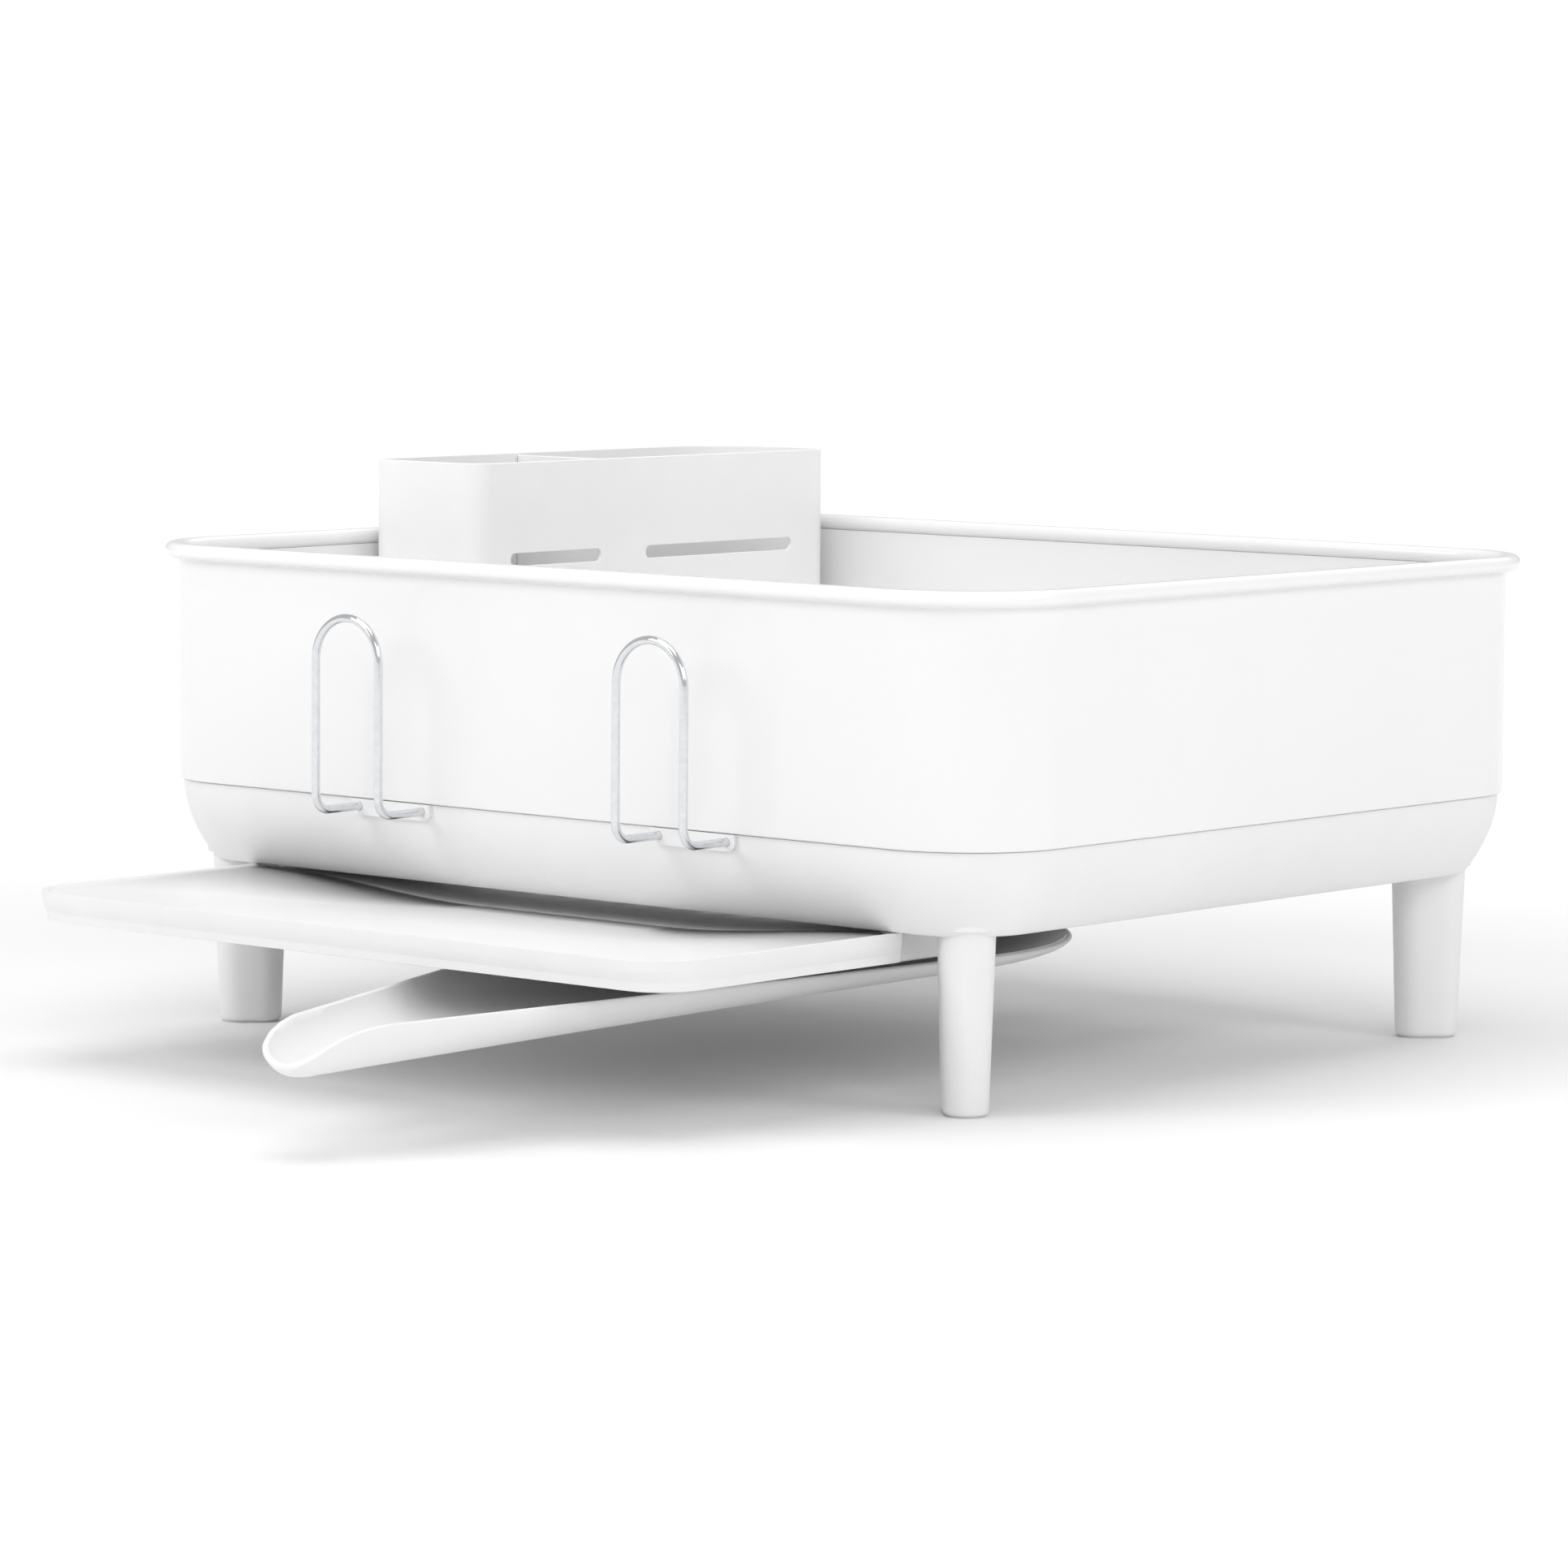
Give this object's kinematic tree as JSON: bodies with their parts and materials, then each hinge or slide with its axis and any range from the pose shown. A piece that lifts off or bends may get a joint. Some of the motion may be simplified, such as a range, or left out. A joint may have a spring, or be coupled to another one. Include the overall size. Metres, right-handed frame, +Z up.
{
  "type": "dish drying rack",
  "caption": "Rectangular dish drying rack: painted steel wall on a moulded base with legs, sliding drip tray, swivel spout, wire cup hooks, cutlery caddy and plate ribs.",
  "frame": {"origin": "on the worktop, below the middle of the whole object's box, with the tray and spout out", "axes": "+X to the right along the wide front wall, +Y from the spout's lip to the rack's back, +Z up"},
  "size_m": [0.513, 0.6642, 0.2548],
  "materials": {
    "painted_steel": "gloss",
    "base_plastic": "satin",
    "leg_plastic": "satin",
    "pad_rubber": "matte",
    "rail_plastic": "satin",
    "tray_plastic": "satin",
    "spout_plastic": "satin",
    "bush_plastic": "matte",
    "guide_plastic": "satin",
    "caddy_plastic": "satin",
    "grate_plastic": "satin",
    "rib_plastic": "satin",
    "hook_wire": "polished",
    "screw_steel": "brushed"
  },
  "bodies": {
    "rack": {"base_tub": "base_plastic", "foot_pad_back_left": "pad_rubber", "foot_pad_back_right": "pad_rubber", "foot_pad_front_left": "pad_rubber", "foot_pad_front_right": "pad_rubber", "frame_screws": "screw_steel", "hook_guide_left": "guide_plastic", "hook_guide_right": "guide_plastic", "leg_back_left": "leg_plastic", "leg_back_right": "leg_plastic", "leg_front_left": "leg_plastic", "leg_front_right": "leg_plastic", "leg_screws": "screw_steel", "rail_screws": "screw_steel", "steel_frame": "painted_steel", "tray_rail_left": "rail_plastic", "tray_rail_right": "rail_plastic"},
    "tray": {"drip_tray": "tray_plastic", "pivot_bush": "bush_plastic"},
    "spout": {"spout": "spout_plastic", "pivot_washer": "screw_steel", "pivot_screw": "screw_steel"},
    "hook_left": {"cup_hook_left": "hook_wire", "hook_stops_left": "screw_steel"},
    "hook_right": {"cup_hook_right": "hook_wire", "hook_stops_right": "screw_steel"},
    "caddy": {"caddy_body": "caddy_plastic", "caddy_divider": "caddy_plastic"},
    "grate": {"drain_grate": "grate_plastic", "plate_ribs": "rib_plastic"}
  },
  "joints": [
    {"name": "tray_slide", "type": "slide", "parent": "rack", "child": "tray", "axis": [0, 1, 0], "range_m": [0, 0.13]},
    {"name": "spout_swivel", "type": "hinge", "parent": "tray", "child": "spout", "pos_m": [0.06, 0.04306, 0.0586], "axis": [0, 0, 1], "range_deg": [-45, 12]},
    {"name": "hook_left_slide", "type": "slide", "parent": "rack", "child": "hook_left", "axis": [0, 1, 0], "range_m": [0, 0.019]},
    {"name": "hook_right_slide", "type": "slide", "parent": "rack", "child": "hook_right", "axis": [0, 1, 0], "range_m": [0, 0.019]},
    {"name": "caddy_lift", "type": "slide", "parent": "rack", "child": "caddy", "axis": [0, 0, 1], "range_m": [0, 0.18]},
    {"name": "grate_lift", "type": "slide", "parent": "rack", "child": "grate", "axis": [0, 0, 1], "range_m": [0, 0.06]}
  ]
}
